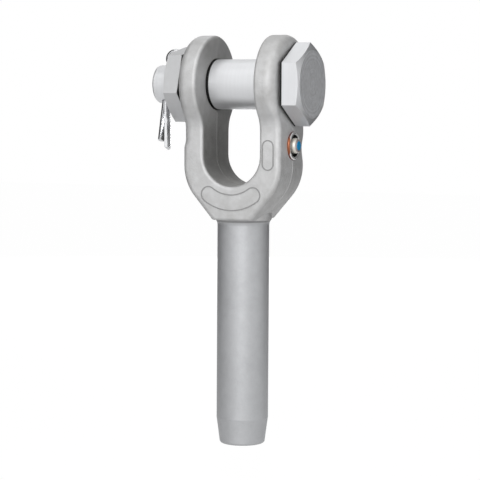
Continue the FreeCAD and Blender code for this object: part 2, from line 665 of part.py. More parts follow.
tail_face = line(bolt_profile, (-tail_end, 0), (-tail_end, thread_r - round_r))
tail_corner = arc(bolt_profile, (round_r - tail_end, thread_r - round_r), round_r,
                  math.pi / 2, math.pi)
thread = line(bolt_profile, (round_r - tail_end, thread_r), (-grip, thread_r))
step = line(bolt_profile, (-grip, thread_r), (-grip, pin_r))
pin_side = line(bolt_profile, (-grip, pin_r), (inside_head, pin_r))
pin_end = line(bolt_profile, (inside_head, pin_r), (inside_head, 0))
pin_axis = line(bolt_profile, (inside_head, 0), (-tail_end, 0))
for first, second in ((thread, step), (step, pin_side), (pin_side, pin_end),
                      (pin_end, pin_axis), (pin_axis, tail_face)):
    tie(bolt_profile, "Coincident", first, 2, second, 1)
tie(bolt_profile, "Tangent", tail_face, 2, tail_corner, 2)
tie(bolt_profile, "Tangent", tail_corner, 1, thread, 1)
for edge in (tail_face, step, pin_end):
    tie(bolt_profile, "Vertical", edge)
for edge in (thread, pin_side):
    tie(bolt_profile, "Horizontal", edge)
tie(bolt_profile, "PointOnObject", pin_axis, 1, -1)
tie(bolt_profile, "PointOnObject", pin_axis, 2, -1)
bind(bolt_profile, "DistanceX", (pin_axis, 2, -1, 1), "tail", tail_end,
     GRIP + " + sizes.nut_thickness + sizes.bolt_tail")
bind(bolt_profile, "Radius", (tail_corner,), "tail_rounding", round_r, "sizes.tail_rounding")
bind(bolt_profile, "DistanceX", (step, 1, -1, 1), "shoulder", grip, GRIP)
bind(bolt_profile, "DistanceY", (-1, 1, step, 1), "thread", thread_r,
     "sizes.thread_diameter / 2")
bind(bolt_profile, "DistanceY", (-1, 1, step, 2), "pin", pin_r, "sizes.pin_diameter / 2")
bind(bolt_profile, "DistanceX", (-1, 1, pin_axis, 1), "inside_head", inside_head,
     GRIP + " + sizes.head_thickness / 2")
turn(bolt, "Revolution", "turned_bolt", bolt_profile)

head_sketch = sketch_on(bolt, "YZ_Plane", "head_hexagon")
head_sketch.setExpression("AttachmentOffset.Base.z", GRIP)
hexagon(head_sketch, "head_flats", math.pi / 2, "90 deg")
head = feature(bolt, "Pad", "hex_head", head_sketch)
head.setExpression("Length", "sizes.head_thickness")
corner_chamfer(bolt, "head_chamfer", head_end, GRIP + " + sizes.head_thickness", 1,
               "head_flats", "head_face_diameter", "head_chamfer_angle")

hole_sketch = sketch_on(bolt, "XY_Plane", "cross_hole_circle")
hole_sketch.AttachmentOffset = FreeCAD.Placement(
    Vector(0, 0, 0), FreeCAD.Rotation(Vector(-1, 0, 0), size["cotter_tilt"]))
hole_sketch.setExpression("AttachmentOffset.Rotation.Angle", "sizes.cotter_tilt * 1 deg")
hole_r = size["cotter_wire_radius"] + size["cotter_split"] / 2 + size["cotter_hole_clearance"]
hole = circle(hole_sketch, (-cotter_x, 0), hole_r)
tie(hole_sketch, "PointOnObject", hole, 3, -1)
bind(hole_sketch, "DistanceX", (hole, 3, -1, 1), "setback", cotter_x,
     GRIP + " + sizes.nut_thickness + sizes.cotter_setback")
bind(hole_sketch, "Radius", (hole,), "hole", hole_r,
     "sizes.cotter_wire_radius + sizes.cotter_split / 2 + sizes.cotter_hole_clearance")
cross_hole = feature(bolt, "Pocket", "cross_hole", hole_sketch)
cross_hole.Type = "ThroughAll"
cross_hole.SideType = "Symmetric"
doc.recompute()

# Nut, seated on the bolt's shoulder

nut = new_body("nut")
nut.setExpression("Placement.Base.x", "-" + GRIP)
nut.setExpression("Placement.Base.z", "sizes.pin_height")
nut_sketch = sketch_on(nut, "YZ_Plane", "nut_hexagon")
hexagon(nut_sketch, "nut_flats", math.pi + radians("nut_turn"),
        "180 deg + sizes.nut_turn * 1 deg")
nut_pad = feature(nut, "Pad", "nut_blank", nut_sketch)
nut_pad.Reversed = True
nut_pad.setExpression("Length", "sizes.nut_thickness")
corner_chamfer(nut, "near_chamfer", 0, "0", 1,
               "nut_flats", "nut_face_diameter", "nut_chamfer_angle")
corner_chamfer(nut, "far_chamfer", -size["nut_thickness"], "-sizes.nut_thickness", -1,
               "nut_flats", "nut_face_diameter", "nut_chamfer_angle")
bore_sketch = sketch_on(nut, "YZ_Plane", "nut_bore_circle")
nut_bore_r = thread_r + size["thread_clearance"]
nut_hole = circle(bore_sketch, (0, 0), nut_bore_r)
tie(bore_sketch, "Coincident", nut_hole, 3, -1, 1)
bind(bore_sketch, "Radius", (nut_hole,), "bore", nut_bore_r,
     "sizes.thread_diameter / 2 + sizes.thread_clearance")
nut_bore = feature(nut, "Pocket", "nut_bore", bore_sketch)
nut_bore.Type = "ThroughAll"
nut_bore.SideType = "Symmetric"
doc.recompute()

# Cotter pin: half-round wire folded to an eye, its legs bent towards the nut

cotter = new_body("cotter_pin")
cotter.Placement = FreeCAD.Placement(
    Vector(0, 0, 0), FreeCAD.Rotation(Vector(-1, 0, 0), size["cotter_tilt"]))
cotter.setExpression("Placement.Rotation.Angle", "sizes.cotter_tilt * 1 deg")
cotter.setExpression("Placement.Base.x",
                     "-(%s + sizes.nut_thickness + sizes.cotter_setback)" % GRIP)
cotter.setExpression("Placement.Base.z", "sizes.pin_height")

wire_r = size["cotter_wire_radius"]
half_split = size["cotter_split"] / 2
eye_r = size["cotter_eye_radius"]
neck_bend = size["cotter_neck_radius"]
leg_bend = size["cotter_bend_radius"]
neck_z = thread_r + size["cotter_eye_gap"]
eye_z = neck_z + math.sqrt((neck_bend + eye_r) ** 2 - (half_split + neck_bend) ** 2)
bend_z = -(thread_r + size["cotter_bend_gap"])
neck_angle = math.acos((half_split + neck_bend) / (neck_bend + eye_r))


def leg_points(side, angle, length):
    """Where a leg's bend ends and where its tip lies."""
    end = (side * half_split + leg_bend * (1 - math.cos(angle)),
           bend_z - leg_bend * math.sin(angle))
    tip = (end[0] + length * math.sin(angle), end[1] - length * math.cos(angle))
    return end, tip


short_angle = radians("cotter_short_angle")
long_angle = radians("cotter_long_angle")
short_end, short_tip = leg_points(-1, short_angle, size["cotter_short_leg"])
long_end, long_tip = leg_points(1, long_angle, size["cotter_long_leg"])

path = sketch_on(cotter, "XZ_Plane", "wire_path")
short_leg = line(path, short_tip, short_end)
short_bend = arc(path, (leg_bend - half_split, bend_z), leg_bend, math.pi, math.pi + short_angle)
short_rise = line(path, (-half_split, bend_z), (-half_split, neck_z))
short_neck = arc(path, (-half_split - neck_bend, neck_z), neck_bend, 0, neck_angle)
eye = arc(path, (0, eye_z), eye_r, -neck_angle, math.pi + neck_angle)
long_neck = arc(path, (half_split + neck_bend, neck_z), neck_bend, math.pi - neck_angle, math.pi)
long_drop = line(path, (half_split, neck_z), (half_split, bend_z))
long_bend = arc(path, (leg_bend + half_split, bend_z), leg_bend, math.pi, math.pi + long_angle)
long_leg = line(path, long_end, long_tip)
for first, first_end, second, second_end in (
        (short_leg, 2, short_bend, 2), (short_bend, 1, short_rise, 1),
        (short_rise, 2, short_neck, 1), (short_neck, 2, eye, 2), (eye, 1, long_neck, 1),
        (long_neck, 2, long_drop, 1), (long_drop, 2, long_bend, 1), (long_bend, 2, long_leg, 1)):
    tie(path, "Tangent", first, first_end, second, second_end)
tie(path, "Vertical", short_rise)
tie(path, "Vertical", long_drop)
tie(path, "PointOnObject", eye, 3, -2)
tie(path, "Equal", short_neck, long_neck)
tie(path, "Equal", short_bend, long_bend)
bind(path, "Radius", (eye,), "eye", eye_r, "sizes.cotter_eye_radius")
bind(path, "Radius", (short_neck,), "neck", neck_bend, "sizes.cotter_neck_radius")
bind(path, "Radius", (short_bend,), "leg_bend", leg_bend, "sizes.cotter_bend_radius")
place_point(path, long_drop, 1, "neck_start", (half_split, neck_z),
            ("sizes.cotter_split / 2", "sizes.thread_diameter / 2 + sizes.cotter_eye_gap"))
bind(path, "DistanceX", (short_rise, 2, -1, 1), "short_side", half_split,
     "sizes.cotter_split / 2")
BEND_DROP = "sizes.thread_diameter / 2 + sizes.cotter_bend_gap"
bind(path, "DistanceY", (short_rise, 1, -1, 1), "short_drop", -bend_z, BEND_DROP)
bind(path, "DistanceY", (long_drop, 2, -1, 1), "long_drop", -bend_z, BEND_DROP)
for name, edge, angle, length in (("short", short_leg, short_angle, size["cotter_short_leg"]),
                                  ("long", long_leg, long_angle, size["cotter_long_leg"])):
    bind(path, "Distance", (edge, 1, edge, 2), name + "_leg", length,
         "sizes.cotter_%s_leg" % name)
bind(path, "DistanceX", (short_leg, 2, short_leg, 1), "short_spread",
     short_tip[0] - short_end[0], "sizes.cotter_short_leg * sin(sizes.cotter_short_angle * 1 deg)")
bind(path, "DistanceX", (long_leg, 1, long_leg, 2), "long_spread",
     long_tip[0] - long_end[0], "sizes.cotter_long_leg * sin(sizes.cotter_long_angle * 1 deg)")

half_round = sketch_on(cotter, "XY_Plane", "half_round")
half_round.AttachmentOffset = FreeCAD.Placement(
    Vector(short_tip[0], 0, short_tip[1]),
    FreeCAD.Rotation(Vector(0, -1, 0), size["cotter_short_angle"]))
half_round.setExpression("AttachmentOffset.Rotation.Angle", "sizes.cotter_short_angle * 1 deg")
SHORT = "sizes.cotter_short_angle * 1 deg"
half_round.setExpression(
    "AttachmentOffset.Base.x",
    "-sizes.cotter_split / 2 + sizes.cotter_bend_radius * (1 - cos(%s))"
    " + sizes.cotter_short_leg * sin(%s)" % (SHORT, SHORT))
half_round.setExpression(
    "AttachmentOffset.Base.z",
    "-(%s) - sizes.cotter_bend_radius * sin(%s)"
    " - sizes.cotter_short_leg * cos(%s)" % (BEND_DROP, SHORT, SHORT))
wire_back = arc(half_round, (0, 0), wire_r, math.pi / 2, 3 * math.pi / 2)
wire_flat = line(half_round, (0, -wire_r), (0, wire_r))
tie(half_round, "Coincident", wire_back, 2, wire_flat, 1)
tie(half_round, "Coincident", wire_flat, 2, wire_back, 1)
tie(half_round, "Coincident", wire_back, 3, -1, 1)
tie(half_round, "Vertical", wire_flat)
tie(half_round, "PointOnObject", wire_flat, 1, -2)
bind(half_round, "Radius", (wire_back,), "wire", wire_r, "sizes.cotter_wire_radius")

wire = cotter.newObject("PartDesign::AdditivePipe", "folded_wire")
wire.Profile = half_round
wire.Spine = (path, [""])
wire.Mode = "Binormal"
wire.Binormal = Vector(0, 1, 0)
cotter.Tip = wire
doc.recompute()

# Identification tag, four round pieces stacked in the right leg's pocket


def tag_body(name):
    """A body at the middle of the tag, level with the leg's crest."""
    body = new_body(name)
    body.setExpression("Placement.Base.x", "sizes.fork_width / 2")
    body.setExpression("Placement.Base.z", "sizes.pin_height - sizes.tag_drop")
    return body


def tag_block(body, name, low, high, outer):
    """A plain round disc between two heights, given as (value, formula)."""
    sketch = sketch_on(body, "XZ_Plane", name + "_profile")
    corners = [(low[0], 0), (high[0], 0), (high[0], outer[0]), (low[0], outer[0])]
    edges = polygon(sketch, corners)
    for edge in (edges[0], edges[2]):
        tie(sketch, "Horizontal", edge)
    for edge in (edges[1], edges[3]):
        tie(sketch, "Vertical", edge)
    place_point(sketch, edges[2], 2, "foot", (low[0], outer[0]), (low[1], outer[1]))
    bind(sketch, "DistanceX", (-1, 1, edges[1], 1), "top", high[0], high[1])
    tie(sketch, "PointOnObject", edges[0], 1, -1)
    turn(body, "Revolution", name, sketch)
    return sketch


floor = -size["tag_pocket_depth"]
FLOOR = "-sizes.tag_pocket_depth"
bed_top = floor + size["tag_bed_thickness"]
BED_TOP = FLOOR + " + sizes.tag_bed_thickness"
ring_outer = size["tag_ring_diameter"] / 2
ring_inner = ring_outer - size["tag_ring_width"]
ring_round = size["tag_ring_width"] / 2
bed_r = ring_inner - size["tag_clearance"]

ring = tag_body("tag_ring")
ring_profile = sketch_on(ring, "XZ_Plane", "ring_profile")
ring_top = size["tag_ring_rise"] - ring_round
ring_foot = line(ring_profile, (floor, ring_outer), (floor, ring_inner))
ring_inside = line(ring_profile, (floor, ring_inner), (ring_top, ring_inner))
ring_crest = arc(ring_profile, (ring_top, ring_inner + ring_round), ring_round,
                 -math.pi / 2, math.pi / 2)
ring_outside = line(ring_profile, (ring_top, ring_outer), (floor, ring_outer))
tie(ring_profile, "Coincident", ring_foot, 2, ring_inside, 1)
tie(ring_profile, "Coincident", ring_outside, 2, ring_foot, 1)
tie(ring_profile, "Tangent", ring_inside, 2, ring_crest, 1)
tie(ring_profile, "Tangent", ring_crest, 2, ring_outside, 1)
tie(ring_profile, "Vertical", ring_foot)
tie(ring_profile, "Horizontal", ring_inside)
tie(ring_profile, "Horizontal", ring_outside)
place_point(ring_profile, ring_foot, 1, "foot", (floor, ring_outer),
            (FLOOR, "sizes.tag_ring_diameter / 2"))
bind(ring_profile, "Distance", (ring_foot, 1, ring_foot, 2), "width", size["tag_ring_width"],
     "sizes.tag_ring_width")
bind(ring_profile, "DistanceX", (-1, 1, ring_crest, 3), "crest", ring_top,
     "sizes.tag_ring_rise - sizes.tag_ring_width / 2")
turn(ring, "Revolution", "turned_ring", ring_profile)

bed = tag_body("tag_bed")
tag_block(bed, "filling", (floor, FLOOR), (bed_top, BED_TOP),
          (bed_r, "sizes.tag_ring_diameter / 2 - sizes.tag_ring_width - sizes.tag_clearance"))

plug = tag_body("tag_plug")
plug_profile = sketch_on(plug, "XZ_Plane", "plug_profile")
plug_r = size["tag_plug_diameter"] / 2
plug_tip = size["tag_plug_rise"]
tip_r = size["tag_plug_neck"] / 2
shoulder_r = size["tag_plug_rounding"]
rise_r = plug_r - shoulder_r
shoulder_x = plug_tip - math.sqrt(shoulder_r ** 2 - (tip_r - rise_r) ** 2)
recess_r = size["tag_disc_diameter"] / 2 + size["tag_clearance"]
recess_x = plug_tip + size["tag_disc_rise"] - size["tag_disc_thickness"]
shoulder_end = math.asin((tip_r - rise_r) / shoulder_r)

plug_axis = line(plug_profile, (bed_top, 0), (recess_x, 0))
recess_floor = line(plug_profile, (recess_x, 0), (recess_x, recess_r))
recess_wall = line(plug_profile, (recess_x, recess_r), (plug_tip, recess_r))
lip = line(plug_profile, (plug_tip, recess_r), (plug_tip, tip_r))
shoulder = arc(plug_profile, (shoulder_x, rise_r), shoulder_r, shoulder_end, math.pi / 2)
plug_side = line(plug_profile, (shoulder_x, plug_r), (bed_top, plug_r))
plug_foot = line(plug_profile, (bed_top, plug_r), (bed_top, 0))
for first, second in ((plug_axis, recess_floor), (recess_floor, recess_wall), (recess_wall, lip),
                      (lip, shoulder), (plug_side, plug_foot), (plug_foot, plug_axis)):
    tie(plug_profile, "Coincident", first, 2, second, 1)
tie(plug_profile, "Tangent", shoulder, 2, plug_side, 1)
for edge in (recess_floor, lip, plug_foot):
    tie(plug_profile, "Vertical", edge)
for edge in (recess_wall, plug_side):
    tie(plug_profile, "Horizontal", edge)
tie(plug_profile, "PointOnObject", plug_axis, 1, -1)
tie(plug_profile, "PointOnObject", plug_axis, 2, -1)
place_point(plug_profile, plug_side, 2, "foot", (bed_top, plug_r),
            (BED_TOP, "sizes.tag_plug_diameter / 2"))
place_point(plug_profile, lip, 2, "tip", (plug_tip, tip_r),
            ("sizes.tag_plug_rise", "sizes.tag_plug_neck / 2"))
place_point(plug_profile, recess_wall, 1, "recess", (recess_x, recess_r),
            ("sizes.tag_plug_rise + sizes.tag_disc_rise - sizes.tag_disc_thickness",
             "sizes.tag_disc_diameter / 2 + sizes.tag_clearance"))
bind(plug_profile, "Radius", (shoulder,), "shoulder", shoulder_r, "sizes.tag_plug_rounding")
turn(plug, "Revolution", "turned_plug", plug_profile)

disc = tag_body("tag_disc")
tag_block(disc, "coloured_disc", (recess_x, "sizes.tag_plug_rise + sizes.tag_disc_rise"
                                            " - sizes.tag_disc_thickness"),
          (plug_tip + size["tag_disc_rise"], "sizes.tag_plug_rise + sizes.tag_disc_rise"),
          (size["tag_disc_diameter"] / 2, "sizes.tag_disc_diameter / 2"))
doc.recompute()

# Check every feature and every piece, then write the pieces

pieces = [socket_body, bolt, nut, cotter, ring, bed, plug, disc]
for item in doc.Objects:
    if "Invalid" in item.State or "Error" in item.State:
        raise RuntimeError("%s could not be built" % item.Label)
for piece in pieces:
    shape = piece.Shape
    if shape.isNull() or not shape.isValid() or len(shape.Solids) != 1:
        raise RuntimeError("%s is not one sound solid" % piece.Label)

os.makedirs("parts", exist_ok=True)
for piece in pieces:
    piece.Shape.exportStep("parts/%s.step" % piece.Label)
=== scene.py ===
# %% [markdown]
# # An open swage socket in a plain studio
#
# The object is a forged steel fork on a tubular shank. A bolt with a hex head
# crosses the fork's two ears, and a nut and a cotter pin hold it. A small round
# tag sits in a pocket in the right leg. The solids come from the frame, already
# in place and to size, so the lesson is about finishes, light and one raised line.

import math

import bmesh
import bpy
import numpy as np
from mathutils import Matrix, Vector


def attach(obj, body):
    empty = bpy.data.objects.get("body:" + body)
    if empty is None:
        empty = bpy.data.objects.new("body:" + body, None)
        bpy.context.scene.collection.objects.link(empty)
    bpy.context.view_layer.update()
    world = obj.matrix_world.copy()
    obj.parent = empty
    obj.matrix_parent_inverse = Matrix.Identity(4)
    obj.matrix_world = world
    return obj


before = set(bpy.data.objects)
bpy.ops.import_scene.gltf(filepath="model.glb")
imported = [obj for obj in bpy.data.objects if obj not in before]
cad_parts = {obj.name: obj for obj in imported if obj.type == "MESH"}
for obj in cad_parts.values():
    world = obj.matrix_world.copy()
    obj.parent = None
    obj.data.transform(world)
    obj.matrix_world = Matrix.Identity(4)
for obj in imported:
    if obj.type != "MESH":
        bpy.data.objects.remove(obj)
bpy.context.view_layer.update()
scene = bpy.context.scene
print("solids:", sorted(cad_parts))

# %% [markdown]
# ## Shader maths as plain expressions
#
# A pattern on a surface is a number that changes from point to point. Blender
# works it out with nodes. Linking each node by hand hides the sum, so a small
# class wraps a socket and lets the usual signs add the Math nodes. The sum can
# then be read as it would be on paper, also with the plain number first.

# %% A socket that can be added and multiplied


class Field:
    """A value that varies over a surface: one output socket of a node."""

    def __init__(self, tree, socket):
        self.tree = tree
        self.socket = socket

    def of(self, name):
        """Another output of the same node."""
        return Field(self.tree, self.socket.node.outputs[name])

    def maths(self, operation, left, right=0.0):
        """One Math node on two values. Its result may lie outside 0 to 1."""
        return self.tree.node("ShaderNodeMath", {"operation": operation}, {0: left, 1: right})

    def __add__(self, other):
        return self.maths("ADD", self, other)

    def __radd__(self, other):
        return self.maths("ADD", other, self)

    def __sub__(self, other):
        return self.maths("SUBTRACT", self, other)

    def __rsub__(self, other):
        return self.maths("SUBTRACT", other, self)

    def __mul__(self, other):
        return self.maths("MULTIPLY", self, other)

    def __rmul__(self, other):
        return self.maths("MULTIPLY", other, self)

    def __abs__(self):
        return self.maths("ABSOLUTE", self)

    def root(self):
        """The square root."""
        return self.maths("SQRT", self)

    def larger(self, other):
        """The larger of two fields, point by point."""
        return self.maths("MAXIMUM", self, other)


print("signs that add a Math node: + - * abs")

# %% [markdown]
# ## One method for every node
#
# A floor, a sky and a piece of steel all keep their nodes in a tree. One class
# holds a tree, and one method adds any node from its type, its settings and its
# sockets. The few patterns that come back again and again are built on it: a ramp
# between two values, a band, and a mix of two colours.

# %% A tree that grows by one method


class Tree:
    """A node tree and the one method that adds a node to it."""

    def __init__(self, tree):
        self.tree = tree

    def put(self, socket, value):
        """Link a field to a socket, or set a plain value on it."""
        if isinstance(value, Field):
            self.tree.links.new(value.socket, socket)
        else:
            socket.default_value = value

    def node(self, kind, settings, inputs, output=0):
        """Add one node: settings first, then its sockets."""
        item = self.tree.nodes.new(kind)
        for name, value in settings.items():
            setattr(item, name, value)
        for key, value in inputs.items():
            self.put(item.inputs[key], value)
        return Field(self, item.outputs[output])

    def window(self, field, low, high):
        """0 below low, 1 above high, and a straight ramp between."""
        return self.node("ShaderNodeMapRange", {"clamp": True},
                         {"Value": field, "From Min": low, "From Max": high})

    def band(self, field, low, high, soft):
        """1 from low to high, falling to 0 over the width of soft on each side."""
        rises = self.window(field, low - soft, low)
        falls = self.window(field, high, high + soft)
        return rises * (1 - falls)

    def blend(self, factor, first, second):
        """A colour between two colours."""
        return self.node("ShaderNodeMix", {"data_type": "RGBA"},
                         {0: factor, 6: first, 7: second}, 2)

    def seen_directly(self):
        """1 for camera, glossy and transmission rays, 0 for the rest."""
        camera_ray = self.node("ShaderNodeLightPath", {}, {}, "Is Camera Ray")
        glossy_ray = camera_ray.of("Is Glossy Ray")
        return camera_ray.larger(glossy_ray).larger(camera_ray.of("Is Transmission Ray"))


print("patterns every tree has: window, band, blend")

# %% [markdown]
# ## One finish, one material
#
# Every finish on the object has the same skeleton: a Principled shader, a colour
# that drifts between two tones, a roughness that drifts with it, and a fine bump.
# Patterns are laid out in object coordinates, which are metres in the frame, so a
# band on the bolt is written with the same numbers as on a drawing. Most bands
# fade over a fifth of a millimetre at their edges. Numbers that are the same
# everywhere go straight on the shader's own sockets, so that they survive an
# export.

# %% A finish that builds its own tree
SOFT_EDGE = 0.0002


class Finish(Tree):
    """A material and the nodes that describe it."""

    def __init__(self, name):
        self.material = bpy.data.materials.new(name)
        self.material.use_nodes = True
        super().__init__(self.material.node_tree)
        self.shader = self.tree.nodes["Principled BSDF"]
        self.place = self.node("ShaderNodeTexCoord", {}, {}, "Object")

    def axes(self):
        """The three coordinates of a point, in metres."""
        x = self.node("ShaderNodeSeparateXYZ", {}, {0: self.place}, "X")
        return x, x.of("Y"), x.of("Z")

    def grain(self, scale, detail=3.0, where=None):
        """Noise with that many features to the metre, about 0.5 on average."""
        vector = self.place if where is None else where
        return self.node("ShaderNodeTexNoise", {"noise_dimensions": "3D"},
                         {"Vector": vector, "Scale": scale, "Detail": detail})

    def marks(self, per_metre):
        """Noise drawn out in one direction: each axis has its own features to the metre."""
        squeezed = self.node("ShaderNodeVectorMath", {"operation": "MULTIPLY"},
                             {0: self.place, 1: per_metre})
        return self.grain(1.0, where=squeezed)

    def surface(self, colour, roughness, metallic, height=None, depth=0.0, strength=1.0):
        """Feed the shader. depth is the bump's height in metres."""
        self.put(self.shader.inputs["Base Color"], colour)
        self.put(self.shader.inputs["Roughness"], roughness)
        self.put(self.shader.inputs["Metallic"], metallic)
        if height is not None:
            bump = self.node("ShaderNodeBump", {},
                             {"Height": height, "Distance": depth, "Strength": strength},
                             "Normal")
            self.put(self.shader.inputs["Normal"], bump)
        return self.material

    def grained(self, colour, grain, roughness, metallic, depth, strength):
        """A surface that one grain both roughens and raises.

        roughness is a start and a span: the start plus the span times the grain.
        """
        start, span = roughness
        return self.surface(colour, start + grain * span, metallic, grain, depth, strength)


def distance(across, above):
    """How far a point is from an axis: the root of across squared plus above squared."""
    return (across * across + above * above).root()


def grey(level, blue=0.0):
    """A grey of that linear level, which blue cools above 0 and warms below 0."""
    return (level - blue / 2, level, level + blue, 1.0)


print("a pale and slightly cool grey:", grey(0.6, 0.01))

# %% [markdown]
# ## Blasted forging
#
# The fork and shank were forged and then blasted with grit, so the surface is
# dull and pale, with a fine orange-peel texture and cloudy changes of tone. Three
# noises do it: a slow one for the clouds, a middle one for the blotches that the
# hot scale leaves, and a fine one for the grit. Plain noise keeps close to its
# average, so a ramp stretches the first two before the three are added.

# %% The forging's pattern
CLOUDS_PER_METRE, CLOUD_RAMP, CLOUD_SHARE = 22.0, (0.34, 0.66), 0.40
BLOTCHES_PER_METRE, BLOTCH_RAMP, BLOTCH_SHARE = 140.0, (0.32, 0.68), 0.35
GRIT_PER_METRE, GRIT_SHARE = 620.0, 0.25


def clouds_and_grit(finish):
    """The tone from 0 to 1, as each noise times its share, and the grit by itself."""
    clouds = finish.window(finish.grain(CLOUDS_PER_METRE, detail=4.0), *CLOUD_RAMP)
    blotches = finish.window(finish.grain(BLOTCHES_PER_METRE), *BLOTCH_RAMP)
    grit = finish.grain(GRIT_PER_METRE, detail=2.0)
    cloudy = clouds * CLOUD_SHARE + blotches * BLOTCH_SHARE + grit * GRIT_SHARE
    return cloudy, grit


print("shares of clouds, blotches and grit:", CLOUD_SHARE, BLOTCH_SHARE, GRIT_SHARE)

# %% [markdown]
# ## Places on the forging
#
# The jaw's inside is drawn darker, most so at the closed end: painted shade where
# the legs keep the light out. The shank was turned before it was blasted. Below the
# fork it is therefore more even, a little cooler and closer to bare metal, so it
# mirrors more and is darker in itself. The two raised outlines on the front are
# only 0.4 mm high. They are drawn darker wherever the surface stands proud of the
# front face, below the ears, as painted shade along each line. The corner where the
# neck meets the fork is drawn dark too, as painted shade under the fork's ledge.
# Each place is a mask: a field that is 1 there and 0 elsewhere, worked out from a
# point's own coordinates. The small values are distances in metres from the faces
# named first, or the length of a fade.

# %% Masks for the shank, the corner, the jaw and the outlines
FRONT_FACE, EARS_BEGIN, SHANK_TOP = -0.0258, 0.2590, 0.1880
HALF_JAW, JAW_CENTRE = 0.0245, 0.2413
SHANK_FADE = 0.003
CORNER_FOOT, CORNER_TOP, CORNER_FADE = 0.0018, 0.0006, 0.0005
WALL_NEAR, WALL_FAR = 0.0007, 0.0018
MOUTH_FADE, MOUTH_LIFT = 0.020, 0.5
PROUD_LOW, PROUD_HIGH, EAR_FADE = 0.00004, 0.00012, 0.0005


def from_jaw(x, z):
    """The distance from the jaw's middle: root of x squared plus depth squared.

    The depth is how far a point lies below the centre of the jaw's round bottom.
    Above that centre it is 0, so there the distance is simply the size of x.
    """
    depth = (JAW_CENTRE - z).larger(0.0)
    return distance(x, depth)


def forging_masks(finish):
    """Four masks: the shank, the corner at its top, the jaw and the raised outlines."""
    x, y, z = finish.axes()
    on_shank = 1 - finish.window(z, SHANK_TOP - SHANK_FADE, SHANK_TOP)
    # The corner's mask, for painted shade under the fork's ledge.
    in_corner = finish.band(z, SHANK_TOP - CORNER_FOOT, SHANK_TOP - CORNER_TOP, CORNER_FADE)
    # The jaw's mask, for the painted shade inside it.
    on_wall = 1 - finish.window(from_jaw(x, z), HALF_JAW + WALL_NEAR, HALF_JAW + WALL_FAR)
    in_mouth = finish.window(z, EARS_BEGIN, EARS_BEGIN + MOUTH_FADE)
    in_jaw = on_wall * (1 - in_mouth * MOUTH_LIFT)
    # The raised outlines' mask, for painted shade along them.
    proud = 1 - finish.window(y, FRONT_FACE - PROUD_HIGH, FRONT_FACE - PROUD_LOW)
    below_ears = 1 - finish.window(z, EARS_BEGIN, EARS_BEGIN + EAR_FADE)
    return on_shank, in_corner, in_jaw, proud * below_ears


print("the shank ends and the fork begins at z =", SHANK_TOP)

# %% The forging's finish
# JAW_SHADE is painted shade inside the jaw; SHANK_SHADE is the turned shank's own darker steel.
JAW_SHADE, SHANK_SHADE = 0.56, 0.75
ROUGH_TINTS, TURNED_TINTS, JAW_TINTS = (-0.004, 0.006), (0.008, 0.014), (-0.006, -0.006)
# The corner's near-black grey is painted shade under the fork's ledge.
CORNER_PAINTED_SHADE, CORNER_COVER = grey(0.14), 0.55
BLASTED_ROUGHNESS, GRIT_ROUGHNESS, BLASTED_METALLIC = 0.58, 0.16, 0.60
SHANK_EVENNESS, SHANK_POLISH, SHANK_BARENESS, SHANK_SMOOTHNESS = 0.60, 0.04, 0.35, 0.6
PEEL_DEPTH, PEEL_STRENGTH = 0.00035, 0.55


def blasted(name, dark, light, outline):
    """Cloudy grey, evener on the shank; painted shade in jaw, corner and outlines.

    The shank's tone is the tone moved part of the way, its evenness, towards a half.
    """
    finish = Finish(name)
    cloudy, grit = clouds_and_grit(finish)
    on_shank, in_corner, in_jaw, on_outline = forging_masks(finish)
    tone = cloudy + on_shank * (SHANK_EVENNESS / 2 - cloudy * SHANK_EVENNESS)

    def steel(shade, tints):
        """The tone between the dark and the light grey, each multiplied by the shade."""
        return finish.blend(tone, grey(dark * shade, tints[0]), grey(light * shade, tints[1]))

    colour = finish.blend(on_shank, steel(1.0, ROUGH_TINTS), steel(SHANK_SHADE, TURNED_TINTS))
    # Painted shade: the jaw's inside is darker, most so at its closed end.
    colour = finish.blend(in_jaw, colour, steel(JAW_SHADE, JAW_TINTS))
    # Painted shade in the corner under the fork's ledge.
    colour = finish.blend(in_corner * CORNER_COVER, colour, CORNER_PAINTED_SHADE)
    # Painted shade along the raised outlines on the front.
    colour = finish.blend(on_outline, colour, grey(outline))
    roughness = BLASTED_ROUGHNESS + grit * GRIT_ROUGHNESS - on_shank * SHANK_POLISH
    metallic = BLASTED_METALLIC + on_shank * SHANK_BARENESS
    height = grit * (1 - on_shank * SHANK_SMOOTHNESS)
    return finish.surface(colour, roughness, metallic, height, PEEL_DEPTH, PEEL_STRENGTH)


# outline is the grey of the painted shade along the raised outlines.
forging_finish = blasted("blasted_forging", dark=0.46, light=0.68, outline=0.34)
line_finish = blasted("parting_line_finish", dark=0.53, light=0.67, outline=0.5)
print("forging:", forging_finish.name, "and its parting line:", line_finish.name)

# %% [markdown]
# ## Turned bolt
#
# The bolt was turned, so its fine tool marks run round its axis, which is X. A
# noise squeezed hard along X and left wide across it makes rings on the shank, and
# a noise of the distance from the axis makes the rings of a faced head. The face
# is pale and nearly matt, so it is made much less metallic than the shank. A dark
# line is painted where the bolt enters each ear and under the head: painted shade
# in the gaps between the parts. A finer dark line, painted shade of a groove, runs
# round the bolt's tail, 1.5 mm beyond the nut.

# %% The bolt's finish
BOLT_AXIS_HEIGHT, HEAD_BASE, HEAD_END = 0.2996, 0.0452, 0.0614
# Painted shade: a near-black band in the gaps at each ear and under the head, also used on the
# nut.
GAP_SHADE, GAP_SHADE_WIDTH = grey(0.012), 0.0013
